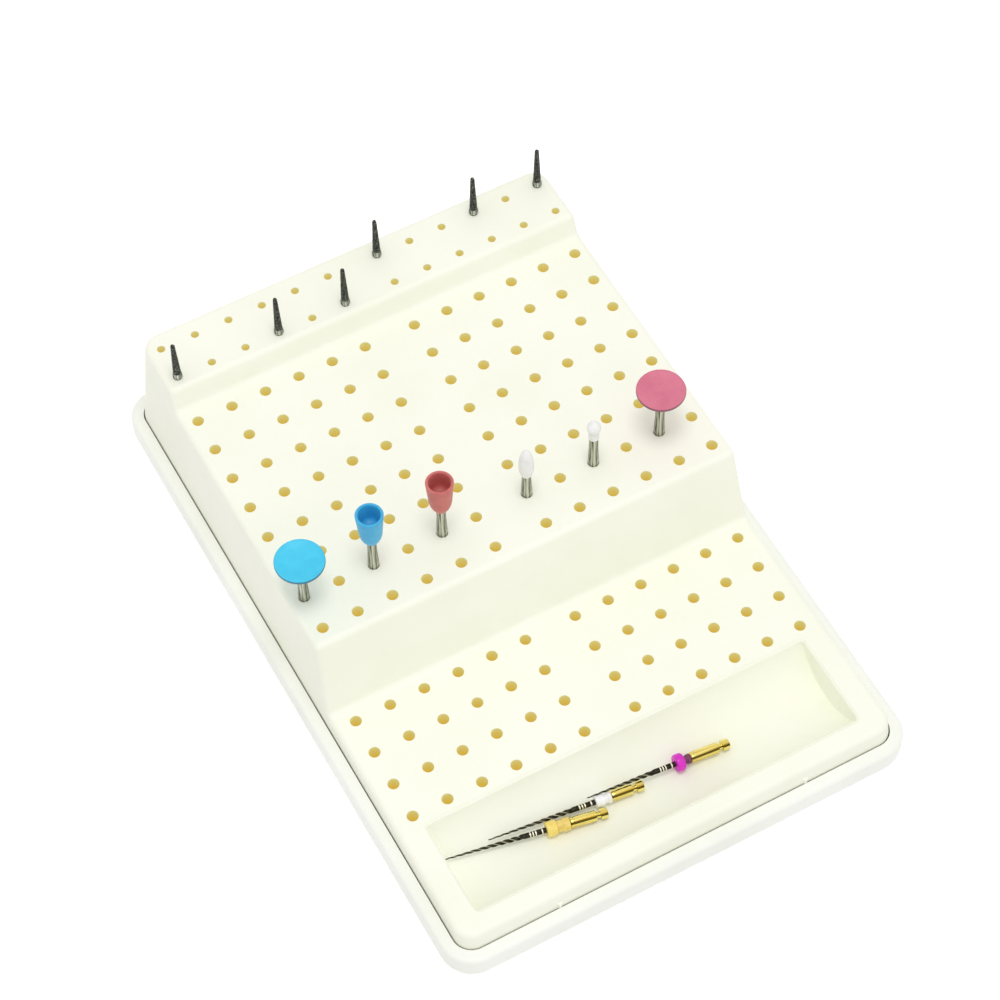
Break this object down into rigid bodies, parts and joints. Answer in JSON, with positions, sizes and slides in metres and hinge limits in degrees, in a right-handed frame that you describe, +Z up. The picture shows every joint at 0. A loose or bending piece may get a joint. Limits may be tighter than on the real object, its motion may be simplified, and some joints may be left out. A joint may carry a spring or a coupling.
{
  "type": "dental bur block",
  "caption": "Tiered dental bur block seated in a shallow tray, with rows of sockets holding burs and polishers and a scooped trough for rotary files.",
  "frame": {"origin": "middle of the tray's footprint, on the surface it stands on", "axes": "+Z up, +X along the socket rows, +Y towards the highest deck, so the trough is at -Y"},
  "size_m": [0.1078, 0.1586, 0.0496],
  "materials": {
    "ivory_plastic": "satin moulded",
    "diamond_grit": "gritty, plated",
    "mandrel_steel": "ground",
    "blue_rubber": "matt",
    "terracotta_rubber": "matt",
    "pink_rubber": "matt",
    "white_stone": "fine grained",
    "file_steel": "ground",
    "magenta_silicone": "smooth",
    "white_silicone": "smooth",
    "yellow_silicone": "smooth",
    "maroon_band": "lacquered",
    "white_band": "lacquered",
    "yellow_band": "lacquered",
    "gilt_brass": "gilt"
  },
  "bodies": {
    "root": {"bur_rack": "ivory_plastic", "base_tray": "ivory_plastic", "diamond_bur_1": "diamond_grit", "diamond_bur_2": "diamond_grit", "diamond_bur_3": "diamond_grit", "diamond_bur_4": "diamond_grit", "diamond_bur_5": "diamond_grit", "diamond_bur_6": "diamond_grit", "blue_disc_mandrel": "mandrel_steel", "blue_disc_head": "blue_rubber", "blue_cup_mandrel": "mandrel_steel", "blue_cup_head": "blue_rubber", "terracotta_cup_mandrel": "mandrel_steel", "terracotta_cup_head": "terracotta_rubber", "flame_stone_mandrel": "mandrel_steel", "flame_stone_head": "white_stone", "ball_stone_mandrel": "mandrel_steel", "ball_stone_head": "white_stone", "pink_disc_mandrel": "mandrel_steel", "pink_disc_head": "pink_rubber", "magenta_file_blade": "file_steel", "magenta_file_stopper": "magenta_silicone", "magenta_file_band": "maroon_band", "magenta_file_handle": "gilt_brass", "white_file_blade": "file_steel", "white_file_stopper": "white_silicone", "white_file_band": "white_band", "white_file_handle": "gilt_brass", "yellow_file_blade": "file_steel", "yellow_file_stopper": "yellow_silicone", "yellow_file_band": "yellow_band", "yellow_file_handle": "gilt_brass"}
  },
  "joints": []
}
